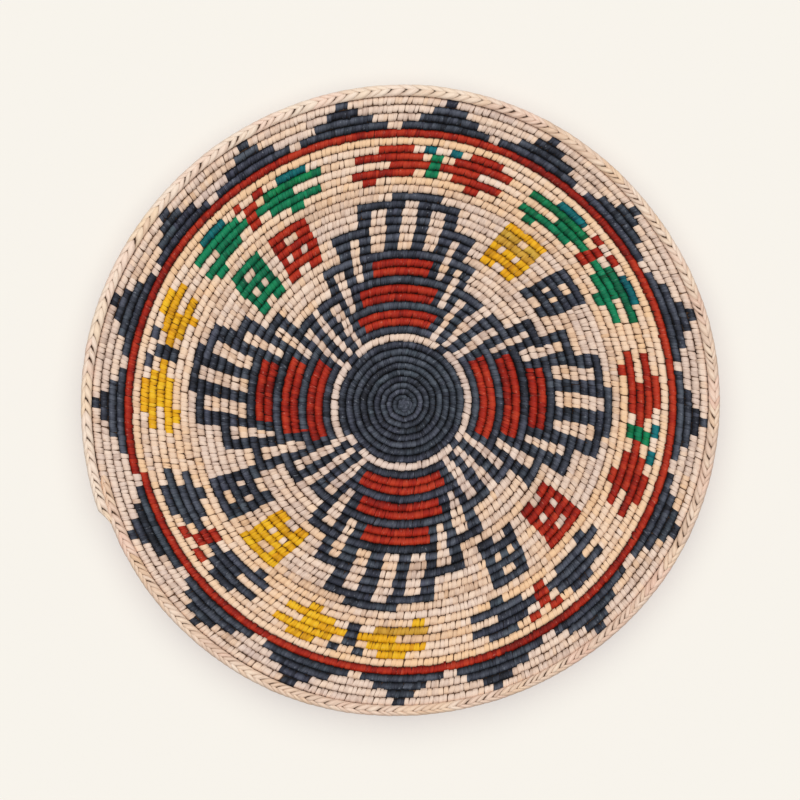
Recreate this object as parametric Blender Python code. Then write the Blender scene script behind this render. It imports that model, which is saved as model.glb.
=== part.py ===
"""A coiled basket wall plate, built the way it is sewn.

One bundle of grass is wound into a shallow spiral dish. Flat strips of dyed and natural
leaf wrap the bundle all along and hold each round to the one before it. Each band of the
pattern is a hollow wrap of its own around the running bundle, the last round is a braided
rim, and a stiff wrapped loop is sewn to the back to hang the plate by.

The plate is laid out face up, seen as it hangs: x to the right, y up, z out of the face.
A parent empty then stands it against a wall, so its face looks along -Y in the world and
the middle of its flat back is the origin. Lengths are in metres.
"""

import bmesh
import bpy
from math import asin, atan2, ceil, cos, exp, floor, hypot, pi, radians, sin

# The coil, which winds outwards anticlockwise as the face is seen. Its first rounds are
# thinner, and from a later round on it is sewn a little tighter.
START_RADIUS = 0.0013
FIRST_PITCH = 0.0031
FULL_PITCH = 0.00474
OUTER_PITCH = 0.00452
FILLING_ROUNDS = 12
TIGHTER_FROM_ROUND = 23
TIGHTENING_ROUNDS = 2
ROUND_GAP = 0.00045
COIL_HEIGHT = 0.0050
SEAM_CLOCK_DEG = 255.0

# The plate is a little out of round: it bulges towards its lower left.
BULGE = 0.0028
BULGE_CLOCK_DEG = 232.0
BULGE_SPREAD_DEG = 44.0
BULGE_FULL_RADIUS = 0.120

# The bands of the pattern from the middle out, each with its count of rounds.
BANDS = (
    ("centre_disc_wrap", 8, "navy"),
    ("white_ring_wrap", 1, "cream"),
    ("first_bar_wrap", 3, "red"),
    ("second_bar_wrap", 3, "navy"),
    ("third_bar_wrap", 3, "red"),
    ("house_band_wrap", 8, "straw"),
    ("inner_pale_ring_wrap", 1, "cream"),
    ("butterfly_band_wrap", 5, "straw"),
    ("outer_pale_ring_wrap", 1, "cream"),
    ("red_ring_wrap", 1, "red"),
    ("mountain_band_wrap", 4, "navy"),
)

# The wrapping strips, the bundle inside them and the room between the pieces.
WRAP_THICKNESS = 0.0005
BUNDLE_CLEARANCE = 0.0003
END_GAP = 0.0003

# The dish stands flat on its middle and rises smoothly to its rim.
FLAT_RADIUS = 0.060
DISH_RISE = 0.015

# The braided rim is thicker than the coil, and its end tapers into the round before.
RIM_WIDTH = 0.0058
RIM_GROWTH_DEG = 25.0
RIM_TAPER_DEG = 16.0
RIM_TIP_WIDTH = 0.0018

# The hanging loop and the two stitches that hold its straight bar to the back.
LOOP_ROUND = 32
LOOP_WIDTH = 0.020
LOOP_LENGTH = 0.026
LOOP_CORNER_RADIUS = 0.004
LOOP_THICKNESS = 0.0024
LOOP_CLEARANCE = 0.0003
STITCH_THICKNESS = 0.0014
STITCH_CLEARANCE = 0.0004
STITCH_SPACING = 0.010
SEAT_GAP = 0.0003

# The edge of the knot in the middle is eased by this much.
KNOT_EDGE = 0.0007

# How finely the coil bends: straight runs in a round, and half as many near the middle.
STEPS_PER_ROUND = 18
COARSE_ROUNDS = 5

# Bends softer than this are shaded smooth, and caps are joined to tubes within this distance.
SHARP_EDGE_DEG = 42.0
MERGE_DISTANCE = 0.0000001

# Neighbouring rounds of one wrap are never closer than this.
LEAST_TURN_GAP = 0.0004

# Finishes as (red, green, blue, roughness), linear light.
FINISHES = {
    "navy": (0.020, 0.028, 0.045, 0.62),
    "cream": (0.76, 0.58, 0.42, 0.60),
    "straw": (0.78, 0.60, 0.38, 0.60),
    "red": (0.42, 0.025, 0.012, 0.58),
    "rim_leaf": (0.72, 0.53, 0.39, 0.60),
    "grass": (0.16, 0.085, 0.035, 0.85),
    "cord": (0.45, 0.30, 0.17, 0.75),
}

COIL_WIDTH = FULL_PITCH - ROUND_GAP
SEAM_TURN = SEAM_CLOCK_DEG / 360.0
RIM_START_TURN = 1 + sum(rounds for name, rounds, finish in BANDS)
RIM_END_TURN = RIM_START_TURN + 1
STEP_TURN = 1.0 / STEPS_PER_ROUND
HALF_STEP_ANGLE = pi / STEPS_PER_ROUND
# The first bend, set so that a straight run crosses the top of the plate in every round.
FIRST_BEND_TURN = (SEAM_TURN - STEP_TURN / 2) % STEP_TURN


def clear_scene():
    """Start from nothing, whatever file the script is run from."""
    for item in list(bpy.data.objects):
        bpy.data.objects.remove(item, do_unlink=True)


def make_finish(piece_name, finish_name):
    """A piece's own material, in one of the finishes above."""
    red, green, blue, roughness = FINISHES[finish_name]
    material = bpy.data.materials.new(piece_name + "_finish")
    material.use_nodes = True
    shader = material.node_tree.nodes["Principled BSDF"]
    shader.inputs["Base Color"].default_value = (red, green, blue, 1.0)
    shader.inputs["Roughness"].default_value = roughness
    shader.inputs["Metallic"].default_value = 0.0
    material.diffuse_color = (red, green, blue, 1.0)
    return material


def place(name, data, parent, finish_name):
    """Put a finished shape in the scene under its parent, with its own finish."""
    item = bpy.data.objects.new(name, data)
    bpy.context.scene.collection.objects.link(item)
    item.parent = parent
    if finish_name:
        data.materials.append(make_finish(name, finish_name))
    return item


def hide_as_guide(item):
    """Mark a cutter or a guide, which isn't a piece of the plate."""
    item.hide_render = True
    item.display_type = "WIRE"


def share_of_way(value, start, end):
    """How far a value has come from start to end, from 0 to 1."""
    return min(max((value - start) / (end - start), 0.0), 1.0)


def ramp(value, start, end):
    """Rise smoothly from 0 at start to 1 at end."""
    share = share_of_way(value, start, end)
    return share * share * (3.0 - 2.0 * share)


def coil_pitch(turn):
    """Distance from this round to the next, from the middle of one to the middle of the other."""
    filled = share_of_way(turn, 0.0, FILLING_ROUNDS)
    tightened = share_of_way(turn, TIGHTER_FROM_ROUND, TIGHTER_FROM_ROUND + TIGHTENING_ROUNDS)
    filling = FIRST_PITCH + (FULL_PITCH - FIRST_PITCH) * filled
    return filling - (FULL_PITCH - OUTER_PITCH) * tightened


def spiral_radius(turn):
    """Middle of the coil from the centre, after so many turns."""
    marks = (0.0, FILLING_ROUNDS, TIGHTER_FROM_ROUND, TIGHTER_FROM_ROUND + TIGHTENING_ROUNDS)
    reached = [mark for mark in marks if mark < turn] + [turn]
    radius = START_RADIUS
    for start, end in zip(reached, reached[1:]):
        radius += (coil_pitch(start) + coil_pitch(end)) / 2 * (end - start)
    return radius


def bulge(turn):
    """How far the plate bulges there past its spiral, less towards the middle."""
    clock = SEAM_CLOCK_DEG - 360.0 * turn
    off_peak = (clock - BULGE_CLOCK_DEG + 180.0) % 360.0 - 180.0
    fullness = min(spiral_radius(turn) / BULGE_FULL_RADIUS, 1.0)
    return BULGE * fullness * exp(-((off_peak / BULGE_SPREAD_DEG) ** 2))


def coil_fullness(turn):
    """Size of the coil's section there, as a share of the full one."""
    return (coil_pitch(turn) - ROUND_GAP) / COIL_WIDTH


def section_scale(turn):
    """Size of the section there, with the thicker rim and its tapered end."""
    growth = ramp(turn, RIM_START_TURN, RIM_START_TURN + RIM_GROWTH_DEG / 360.0)
    full = coil_fullness(turn)
    full += (RIM_WIDTH / COIL_WIDTH - full) * growth
    taper = ramp(turn, RIM_END_TURN - RIM_TAPER_DEG / 360.0, RIM_END_TURN)
    return full + (RIM_TIP_WIDTH / COIL_WIDTH - full) * taper


def dish_height(radius):
    """Height of the plate's back there above the flat middle."""
    slope = max(radius - FLAT_RADIUS, 0.0) / (spiral_radius(RIM_END_TURN) - FLAT_RADIUS)
    return DISH_RISE * slope ** 2


def bend_point(turn):
    """Middle of the coil at one of its bends, and its section's size there.

    The bends lie a little outside the true spiral and the straight runs between them a
    little inside it, by the same amount. Only the outer side follows a thicker section,
    so the slit to the round before stays as wide.
    """
    scale = section_scale(turn)
    middle = (spiral_radius(turn) + bulge(turn)) * 2.0 / (1.0 + cos(HALF_STEP_ANGLE))
    middle += (scale - coil_fullness(turn)) * COIL_WIDTH / 2
    clock = 2 * pi * (SEAM_TURN - turn)
    height = dish_height(spiral_radius(turn)) + scale * COIL_HEIGHT / 2
    return (middle * sin(clock), middle * cos(clock), height), scale


def turn_of_step(step):
    """How far round the coil a step lies, in turns."""
    return FIRST_BEND_TURN + step * STEP_TURN


def is_bend(step):
    """Near the middle the coil bends only at every other step."""
    return step % 2 == 0 or turn_of_step(step) > COARSE_ROUNDS


def bends(first_turn, last_turn):
    """Turns at which the coil bends between the two given."""
    first_step = floor((first_turn - FIRST_BEND_TURN) / STEP_TURN) + 1
    last_step = ceil((last_turn - FIRST_BEND_TURN) / STEP_TURN)
    return [turn_of_step(step) for step in range(first_step, last_step) if is_bend(step)]


def on_straight_run(turn):
    """A point of the coil between two bends, on the straight run that joins them."""
    step = floor((turn - FIRST_BEND_TURN) / STEP_TURN)
    before = turn_of_step(step if is_bend(step) else step - 1)
    after = turn_of_step(step + 1 if is_bend(step + 1) else step + 2)
    share = (turn - before) / (after - before)
    (start, start_scale), (end, end_scale) = bend_point(before), bend_point(after)
    point = tuple(low + (high - low) * share for low, high in zip(start, end))
    return point, start_scale + (end_scale - start_scale) * share


def coil_stations(first_turn, last_turn):
    """Every point that a stretch of the coil passes through, with its section's size."""
    stations = [on_straight_run(first_turn)]
    stations += [bend_point(turn) for turn in bends(first_turn, last_turn)]
    stations.append(on_straight_run(last_turn))
    return stations


def gap_in_turns(turn, gap):
    """A gap along the coil, in turns."""
    return gap / (2 * pi * spiral_radius(turn))


def section_curve(name, corners):
    """A closed outline to sweep along the coil."""
    data = bpy.data.curves.new(name, "CURVE")
    data.dimensions = "2D"
    outline = data.splines.new("POLY")
    outline.points.add(len(corners) - 1)
    for point, (across, up) in zip(outline.points, corners):
        point.co = (across, up, 0.0, 1.0)
    outline.use_cyclic_u = True
    item = place(name, data, None, None)
    hide_as_guide(item)
    return item


def swept_mesh(name, stations, section):
    """Sweep a section along the coil's stations and close both ends."""
    data = bpy.data.curves.new(name, "CURVE")
    data.dimensions = "3D"
    data.twist_mode = "Z_UP"
    data.bevel_mode = "OBJECT"
    data.bevel_object = section
    data.use_fill_caps = True
    path = data.splines.new("POLY")
    path.use_smooth = False
    path.points.add(len(stations) - 1)
    for point, (place_at, scale) in zip(path.points, stations):
        point.co = (*place_at, 1.0)
        point.radius = scale
    carrier = place(name + "_path", data, None, None)
    graph = bpy.context.evaluated_depsgraph_get()
    mesh = bpy.data.meshes.new_from_object(carrier.evaluated_get(graph))
    mesh.name = name
    bpy.data.objects.remove(carrier, do_unlink=True)
    return mesh


def close_and_face_out(mesh):
    """Join the swept end caps to their tube, face outwards and keep only the real edges sharp."""
    shape = bmesh.new()
    shape.from_mesh(mesh)
    bmesh.ops.remove_doubles(shape, verts=shape.verts, dist=MERGE_DISTANCE)
    bmesh.ops.recalc_face_normals(shape, faces=shape.faces)
    shape.to_mesh(mesh)
    shape.free()
    mesh.shade_smooth()
    mesh.set_sharp_from_angle(angle=radians(SHARP_EDGE_DEG))


# The coil's section: flat at front and back, and pointed at the sides.
FULL_SECTION = (
    (-COIL_WIDTH / 2, 0.0),
    (-COIL_WIDTH / 4, -COIL_HEIGHT / 2),
    (COIL_WIDTH / 4, -COIL_HEIGHT / 2),
    (COIL_WIDTH / 2, 0.0),
    (COIL_WIDTH / 4, COIL_HEIGHT / 2),
    (-COIL_WIDTH / 4, COIL_HEIGHT / 2),
)
# The bundle's section at the same full size, before it is drawn in to fit the wrap.
BUNDLE_SECTION = (
    (-COIL_WIDTH / 2, 0.0),
    (0.0, -COIL_HEIGHT / 2),
    (COIL_WIDTH / 2, 0.0),
    (0.0, COIL_HEIGHT / 2),
)
# How far the wrap's slanted sides and the bundle's sides lie from the middle.
WRAP_REACH = COIL_WIDTH * COIL_HEIGHT / (4 * hypot(COIL_WIDTH / 4, COIL_HEIGHT / 2))
BUNDLE_REACH = COIL_WIDTH * COIL_HEIGHT / (4 * hypot(COIL_WIDTH / 2, COIL_HEIGHT / 2))


def bore_scale(scale):
    """Size of the hole through a wrap, which leaves the strips their thickness."""
    return scale - WRAP_THICKNESS / WRAP_REACH


def bundle_scale(scale):
    """Size of the bundle in that hole."""
    return bore_scale(scale) - BUNDLE_CLEARANCE / BUNDLE_REACH


def bundle_end_turn():
    """The bundle stops where the rim starts to taper."""
    return RIM_END_TURN - RIM_TAPER_DEG / 360.0


def make_bore_cutter(section, parent):
    """One long cutter, which opens every wrap for the bundle."""
    last_turn = bundle_end_turn() + gap_in_turns(RIM_END_TURN, END_GAP)
    stations = coil_stations(1 - gap_in_turns(1, END_GAP), last_turn)
    holes = [(point, bore_scale(scale)) for point, scale in stations]
    mesh = swept_mesh("bundle_bore", holes, section)
    close_and_face_out(mesh)
    cutter = place("bundle_bore", mesh, parent, None)
    hide_as_guide(cutter)
    return cutter


def make_bundle(section, parent):
    """The bundle of grass that runs unbroken through every round."""
    stations = coil_stations(1 + gap_in_turns(1, END_GAP), bundle_end_turn())
    strands = [(point, bundle_scale(scale)) for point, scale in stations]
    mesh = swept_mesh("grass_bundle", strands, section)
    close_and_face_out(mesh)
    place("grass_bundle", mesh, parent, "grass")


def least_turn_gap(first_turn, last_turn):
    """Least gap between neighbouring rounds of one wrap, measured across its straight runs."""
    gaps = []
    for turn in bends(first_turn, last_turn - 1):
        (inner, inner_scale), (outer, outer_scale) = bend_point(turn), bend_point(turn + 1)
        apart = hypot(outer[0], outer[1]) - hypot(inner[0], inner[1])
        gap = apart - (inner_scale + outer_scale) * COIL_WIDTH / 2
        half_run = HALF_STEP_ANGLE * (1 if turn > COARSE_ROUNDS else 2)
        gaps.append(gap * cos(half_run))
    return min(gaps, default=None)


def make_wrap(name, first_turn, last_turn, finish_name, section, cutter, parent):
    """One band's wrap: a stretch of the coil's outer shape with the bundle's hole through it."""
    start = first_turn + gap_in_turns(first_turn, END_GAP / 2)
    end = last_turn - gap_in_turns(last_turn, END_GAP / 2)
    mesh = swept_mesh(name, coil_stations(start, end), section)
    close_and_face_out(mesh)
    wrap = place(name, mesh, parent, finish_name)
    bore = wrap.modifiers.new("bundle_hole", "BOOLEAN")
    bore.operation = "DIFFERENCE"
    bore.solver = "EXACT"
    bore.object = cutter
    gap = least_turn_gap(start, end)
    if gap is not None:
        clear = "clear" if gap > LEAST_TURN_GAP else "too close"
        print(f"{name}: least gap between rounds {gap * 1000:.3f} mm, {clear}")


def make_knot(parent):
    """The tight first turn in the middle, a button whose edge follows the spiral."""
    stations = [0.0] + bends(0.0, 1.0) + [1.0 - gap_in_turns(1, END_GAP)]
    shape = bmesh.new()
    corners = []
    for turn in stations:
        outer = spiral_radius(turn) + coil_fullness(turn) * COIL_WIDTH / 2
        clock = 2 * pi * (SEAM_TURN - turn)
        corners.append(shape.verts.new((outer * sin(clock), outer * cos(clock), 0.0)))
    back = shape.faces.new(corners)
    grown = bmesh.ops.extrude_face_region(shape, geom=[back])
    front_corners = [item for item in grown["geom"] if isinstance(item, bmesh.types.BMVert)]
    thickness = coil_fullness(0.0) * COIL_HEIGHT
    bmesh.ops.translate(shape, verts=front_corners, vec=(0.0, 0.0, thickness))
    rims = [edge for edge in shape.edges if edge.verts[0].co.z == edge.verts[1].co.z]
    bmesh.ops.bevel(
        shape, geom=rims, offset=KNOT_EDGE, segments=1, profile=0.5, affect="EDGES"
    )
    bmesh.ops.recalc_face_normals(shape, faces=shape.faces)
    mesh = bpy.data.meshes.new("centre_knot")
    shape.to_mesh(mesh)
    shape.free()
    place("centre_knot", mesh, parent, "navy")


def back_of_round(number):
    """Where a round's flat back crosses the plate's top: its height up the plate and off the wall."""
    (across, up, middle), scale = on_straight_run(number - 1 + SEAM_TURN)
    return up, middle - scale * COIL_HEIGHT / 2


def bar_place():
    """Axis of the loop's bar, in the slit outside its round and just clear of the back."""
    inner_up, inner_back = back_of_round(LOOP_ROUND)
    outer_up, outer_back = back_of_round(LOOP_ROUND + 1)
    up = (inner_up + outer_up) / 2
    return up, min(inner_back, outer_back) - LOOP_CLEARANCE - LOOP_THICKNESS / 2


def loop_lean():
    """Angle at which the loop lies back on the dish, clear of every round behind it."""
    bar_up, bar_height = bar_place()
    reach = LOOP_THICKNESS / 2 + LOOP_CLEARANCE
    leans = []
    for number in range(LOOP_ROUND + 1, RIM_END_TURN):
        up, back = back_of_round(number)
        rise = back - bar_height
        run = up + COIL_WIDTH / 4 - bar_up
        if run - COIL_WIDTH / 2 < LOOP_LENGTH:
            leans.append(atan2(rise, run) - asin(reach / hypot(rise, run)))
    return min(leans)


def arc(centre, radius, start_deg, end_deg, count):
    """Points along an arc, both ends included."""
    points = []
    for index in range(count):
        angle = radians(start_deg + (end_deg - start_deg) * index / (count - 1))
        points.append((centre[0] + radius * cos(angle), centre[1] + radius * sin(angle)))
    return points


def round_cord(name, points, thickness, closed, parent, finish_name):
    """A thin round cord of set thickness through the given points."""
    data = bpy.data.curves.new(name, "CURVE")
    data.dimensions = "3D"
    data.bevel_depth = thickness / 2
    data.bevel_resolution = 1
    data.use_fill_caps = not closed
    path = data.splines.new("POLY")
    path.points.add(len(points) - 1)
    path.use_cyclic_u = closed
    for point, place_at in zip(path.points, points):
        point.co = (*place_at, 1.0)
    return place(name, data, parent, finish_name)


def make_hanging_loop(parent):
    """The stirrup-shaped loop, on an empty that marks the axis it swings about."""
    bar_up, bar_height = bar_place()
    hinge = bpy.data.objects.new("hanger_axis", None)
    bpy.context.scene.collection.objects.link(hinge)
    hinge.parent = parent
    hinge.location = (0.0, bar_up, bar_height)

    half = LOOP_WIDTH / 2
    corner = LOOP_CORNER_RADIUS
    outline = arc((half - corner, corner), corner, -90, 0, 4)
    outline += arc((0.0, LOOP_LENGTH - half), half, 0, 180, 9)
    outline += arc((corner - half, corner), corner, 180, 270, 4)
    lean = loop_lean()
    points = [(across, up * cos(lean), up * sin(lean)) for across, up in outline]
    round_cord("hanging_loop", points, LOOP_THICKNESS, True, hinge, "cord")


def make_loop_stitch(name, across, parent):
    """A stitch over the loop's bar, with a foot on the round at each side of it."""
    bar_up, bar_height = bar_place()
    reach = LOOP_THICKNESS / 2 + STITCH_CLEARANCE + STITCH_THICKNESS / 2
    inner_foot = back_of_round(LOOP_ROUND)[1] - SEAT_GAP
    outer_foot = back_of_round(LOOP_ROUND + 1)[1] - SEAT_GAP
    points = [(across, bar_up - reach, inner_foot)]
    points += [(across, up, height) for up, height in arc((bar_up, bar_height), reach, 180, 360, 7)]
    points.append((across, bar_up + reach, outer_foot))
    round_cord(name, points, STITCH_THICKNESS, False, parent, "cord")


clear_scene()

wall_stand = bpy.data.objects.new("wall_stand", None)
bpy.context.scene.collection.objects.link(wall_stand)
wall_stand.rotation_euler = (radians(90), 0.0, 0.0)

coil_section = section_curve("coil_section", FULL_SECTION)
bundle_section = section_curve("bundle_section", BUNDLE_SECTION)
bore_cutter = make_bore_cutter(bundle_section, wall_stand)

make_knot(wall_stand)
make_bundle(bundle_section, wall_stand)

band_start = 1
for band_name, band_rounds, band_finish in BANDS:
    band_end = band_start + band_rounds
    make_wrap(
        band_name, band_start, band_end, band_finish, coil_section, bore_cutter, wall_stand
    )
    band_start = band_end
make_wrap(
    "rim_braid", RIM_START_TURN, RIM_END_TURN, "rim_leaf", coil_section, bore_cutter, wall_stand
)

make_hanging_loop(wall_stand)
make_loop_stitch("loop_stitch_left", -STITCH_SPACING / 2, wall_stand)
make_loop_stitch("loop_stitch_right", STITCH_SPACING / 2, wall_stand)
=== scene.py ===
"""A coiled basket plate with every stitch of its figured face, hung on a pale wall.

The sections follow the maker's order: the grass bundle first, then the strips of leaf sewn
over it from the middle outwards, band by band, then the braided rim and the loop on the
back. The face looks along -Y, and the middle of the flat back is the origin. Lengths are in
metres unless a name says otherwise, and a clock angle is in degrees clockwise from the top.
"""
from itertools import groupby
from math import cos, pi, radians, sin

import bmesh
import bpy
import numpy as np
from mathutils import Matrix, Vector


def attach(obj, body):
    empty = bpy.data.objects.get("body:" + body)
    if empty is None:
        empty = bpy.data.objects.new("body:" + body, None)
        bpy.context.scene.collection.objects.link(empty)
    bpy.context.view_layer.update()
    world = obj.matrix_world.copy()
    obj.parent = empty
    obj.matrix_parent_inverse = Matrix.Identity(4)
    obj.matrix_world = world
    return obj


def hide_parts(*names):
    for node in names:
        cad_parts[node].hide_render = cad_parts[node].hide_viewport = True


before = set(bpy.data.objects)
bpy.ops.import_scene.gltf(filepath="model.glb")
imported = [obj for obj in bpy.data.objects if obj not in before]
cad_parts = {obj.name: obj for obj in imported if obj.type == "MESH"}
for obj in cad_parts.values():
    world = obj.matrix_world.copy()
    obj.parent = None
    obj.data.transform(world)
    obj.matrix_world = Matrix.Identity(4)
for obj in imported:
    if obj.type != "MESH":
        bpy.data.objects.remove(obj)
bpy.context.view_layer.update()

# Grass bundle
# A bundle of dry grass stems runs unbroken from the middle to the rim. It shows only as
# brown depth in the slits between the stitches, and its run is what all the rest follows.
SEAM_CLOCK = 255.0  # where each round starts, close to the coil's tucked end
# Distance from each round to the next: thin first rounds, full ones, then a little tighter.
FIRST_PITCH, FULL_PITCH, OUTER_PITCH = 0.0031, 0.00474, 0.00452
FIRST_RADIUS = 0.0016
TURNS = np.linspace(0.0, 41.0, 8201)
TURN_STEP = TURNS[1] - TURNS[0]
PITCHES = np.interp(TURNS, (0, 12, 23, 25), (FIRST_PITCH, FULL_PITCH, FULL_PITCH, OUTER_PITCH))
STEPS_OUT = (PITCHES[1:] + PITCHES[:-1]) / 2 * TURN_STEP
RADII = FIRST_RADIUS + np.concatenate(([0.0], np.cumsum(STEPS_OUT)))
MEAN_RADII = (RADII[1:] + RADII[:-1]) / 2
LENGTHS = np.concatenate(([0.0], np.cumsum(2 * pi * MEAN_RADII * TURN_STEP)))
# The space between two rounds of the coil, and half a full round's thickness.
ROUND_GAP, HALF_THICKNESS = 0.00045, 0.0025
# Radius of the flat middle, how far it is from there to the last round, and the rim's rise.
DISH_FLAT, DISH_REACH, DISH_RISE = 0.060, 0.11754, 0.015
# The turns of the coil between which it is the rim.
RIM_FROM, RIM_TO = 39.0, 40.021


def hump(value, peak, spread):
    """A smooth hump of height 1 over its peak."""
    return np.exp(-(((value - peak) / spread) ** 2))


def ramp(value, start, end):
    """Rise smoothly from 0 at start to 1 at end."""
    share = np.clip((value - start) / (end - start), 0.0, 1.0)
    return share * share * (3.0 - 2.0 * share)


def coil_radius(turn):
    """Middle of the coil from the centre, with the plate's bulge and a sewer's unevenness.

    Each term is its greatest size in metres, times a wave round the clock and a hump or ramp
    that say at which clock angle, turn or radius it is felt.
    """
    spiral = np.interp(turn, TURNS, RADII)
    clock = SEAM_CLOCK - 360.0 * turn

    def wave(times, crest):
        """So many waves round the clock, with a crest at one clock angle."""
        return np.cos(np.radians(times * (clock - crest)))

    off_bulge = (clock - 232.0 + 180.0) % 360.0 - 180.0
    bulge = 0.0028 * np.minimum(spiral / 0.120, 1.0) * hump(off_bulge, 0.0, 44.0)
    slack = 0.0003 * hump(turn, 23.5, 2.0) - 0.0007 * hump(turn, 14.5, 3.2)
    slack -= 0.00025 * hump(turn, 37.0, 2.0)
    off_centre = 0.0008 * wave(1, 163.0) * hump(spiral, 0.075, 0.085)
    off_centre += 0.00036 * wave(1, 188.0) * hump(spiral, 0.0, 0.055)
    oval = 0.00023 * wave(2, 0.0) * hump(spiral, 0.065, 0.03)
    oval -= 0.00018 * wave(2, 7.0) * ramp(spiral, 0.13, 0.16)
    oval -= 0.00025 * wave(4, 55.0) * ramp(spiral, 0.08, 0.14)
    wander = 0.00010 * np.sin(np.radians(5 * clock) + 0.35 * turn)
    wander += 0.00010 * np.sin(np.radians(9 * clock) - 0.6 * turn)
    return spiral + bulge + slack + off_centre + oval + wander


def coil_pitch(turn):
    """Width that one round takes up."""
    return np.interp(turn, TURNS, PITCHES)


def rim_growth(turn):
    """How far the coil has grown into the thicker rim."""
    return ramp(turn, RIM_FROM - 0.010, RIM_FROM + 0.025)


def half_height(turn):
    """Half the coil's thickness, less in the first rounds."""
    return HALF_THICKNESS * (coil_pitch(turn) - ROUND_GAP) / (FULL_PITCH - ROUND_GAP)


def coil_lift(turn):
    """Height of the coil's middle off the wall: the dish is flat, then rises to its rim."""
    slope = np.maximum(np.interp(turn, TURNS, RADII) - DISH_FLAT, 0.0) / DISH_REACH
    return DISH_RISE * slope ** 2 + half_height(turn)


def on_coil(turn, across, up):
    """World place of points on the coil, outwards across it and up out of the face."""
    radius = coil_radius(turn) + across
    clock = np.radians(SEAM_CLOCK - 360.0 * turn)
    lift = coil_lift(turn) + up
    return np.stack((radius * np.sin(clock), -lift, radius * np.cos(clock)), axis=-1)


def grow(shape, edges, step):
    """Extrude open edges by one step, and give the new edges and vertices."""
    grown = bmesh.ops.extrude_edge_only(shape, edges=edges)["geom"]
    verts = [item for item in grown if isinstance(item, bmesh.types.BMVert)]
    bmesh.ops.translate(shape, verts=verts, vec=step)
    return [item for item in grown if isinstance(item, bmesh.types.BMEdge)], verts


def close_ends(shape):
    """Close the open ends of a tube, and turn its faces outwards."""
    bmesh.ops.holes_fill(shape, edges=[edge for edge in shape.edges if edge.is_boundary])
    bmesh.ops.recalc_face_normals(shape, faces=shape.faces)


def mesh_of(name, shape):
    """Turn a shape that is ready into a mesh, and let the shape go."""
    mesh = bpy.data.meshes.new(name)
    shape.to_mesh(mesh)
    shape.free()
    return mesh


def put_in_scene(name, data):
    """An object in the scene for a mesh, lamp or camera."""
    item = bpy.data.objects.new(name, data)
    bpy.context.scene.collection.objects.link(item)
    return item


def row_of(shape, count, joined=False):
    """A row of copies of one shape along X, two units apart, as one mesh.

    Open copies are joined end to end, as one tube with closed ends.
    """
    carrier = put_in_scene("row", mesh_of("row", shape))
    row = carrier.modifiers.new("row", "ARRAY")
    row.count = count
    row.use_relative_offset = False
    row.use_constant_offset = True
    row.constant_offset_displace = (2.0, 0.0, 0.0)
    row.use_merge_vertices = joined
    row.merge_threshold = 0.02
    graph = bpy.context.evaluated_depsgraph_get()
    whole = bpy.data.meshes.new_from_object(carrier.evaluated_get(graph))
    bpy.data.objects.remove(carrier)
    if joined:
        tube = bmesh.new()
        tube.from_mesh(whole)
        close_ends(tube)
        tube.to_mesh(whole)
        tube.free()
    return whole


def points_of(mesh):
    """Where a mesh's vertices are, as three columns."""
    flat = np.empty(len(mesh.vertices) * 3, np.float32)
    mesh.vertices.foreach_get("co", flat)
    return flat.reshape(-1, 3).T.astype(float)


def mark_points(mesh, mark, values):
    """Keep a number or a place with each vertex, for the material to read."""
    kind, field = ("FLOAT", "value") if values.ndim == 1 else ("FLOAT_VECTOR", "vector")
    held = mesh.attributes.new(mark, kind, "POINT")
    held.data.foreach_set(field, np.ascontiguousarray(values, np.float32).ravel())


def finished(name, mesh, places, material, **marks):
    """A piece with its vertices in their places, and what its material reads at each."""
    mesh.name = name
    mesh.vertices.foreach_set("co", np.ascontiguousarray(places, np.float32).ravel())
    for mark, values in marks.items():
        mark_points(mesh, mark, values)
    mesh.shade_smooth()
    mesh.materials.append(material)
    mesh.update()
    return put_in_scene(name, mesh)


def linear(hex_colour):
    """Linear RGBA of an sRGB hex colour."""
    shares = [int(hex_colour[at:at + 2], 16) / 255 for at in (1, 3, 5)]
    return [c / 12.92 if c <= 0.04045 else ((c + 0.055) / 1.055) ** 2.4 for c in shares] + [1.0]


def add(material, kind, settings=None, **links):
    """Add a node, with its settings and with values or other nodes' outputs on its inputs."""
    node = material.node_tree.nodes.new(kind)
    for setting, value in (settings or {}).items():
        setattr(node, setting, value)
    for key, value in links.items():
        socket = node.inputs[int(key[1:]) if key[1:].isdigit() else key.replace("_", " ")]
        if isinstance(value, bpy.types.NodeSocket):
            material.node_tree.links.new(value, socket)
        else:
            socket.default_value = value
    return node


def colours_along(ramp_node, stops):
    """Set a ramp's colours at their places from 0 to 1."""
    scale = ramp_node.color_ramp
    while len(scale.elements) < len(stops):
        scale.elements.new(0.5)
    for element, (place, colour) in zip(scale.elements, stops):
        element.position = place
        element.color = linear(colour)
    return ramp_node.outputs["Color"]


def new_material(name):
    """A material with its shader, ready for its nodes."""
    material = bpy.data.materials.new(name)
    material.use_nodes = True
    return material, material.node_tree.nodes["Principled BSDF"]


# Dry grass, unbleached: dull brown stems about 1 mm across that lie along the coil, so the
# pattern's scale is 1 to the millimetre across them and long drawn out along them.
dry_grass, shader = new_material("dry_grass")
stem_place = add(dry_grass, "ShaderNodeAttribute", {"attribute_name": "stem_mm"}).outputs["Vector"]
stems = add(dry_grass, "ShaderNodeMapping", Vector=stem_place, Scale=(0.06, 1.0, 1.0))
stems = add(dry_grass, "ShaderNodeTexNoise", Vector=stems.outputs[0], Scale=1.0, Detail=2.0)
straws = add(dry_grass, "ShaderNodeValToRGB", Fac=stems.outputs["Fac"])
colour = colours_along(straws, [(0.30, "#3E2918"), (0.52, "#60422A"), (0.75, "#85603E")])
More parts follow.
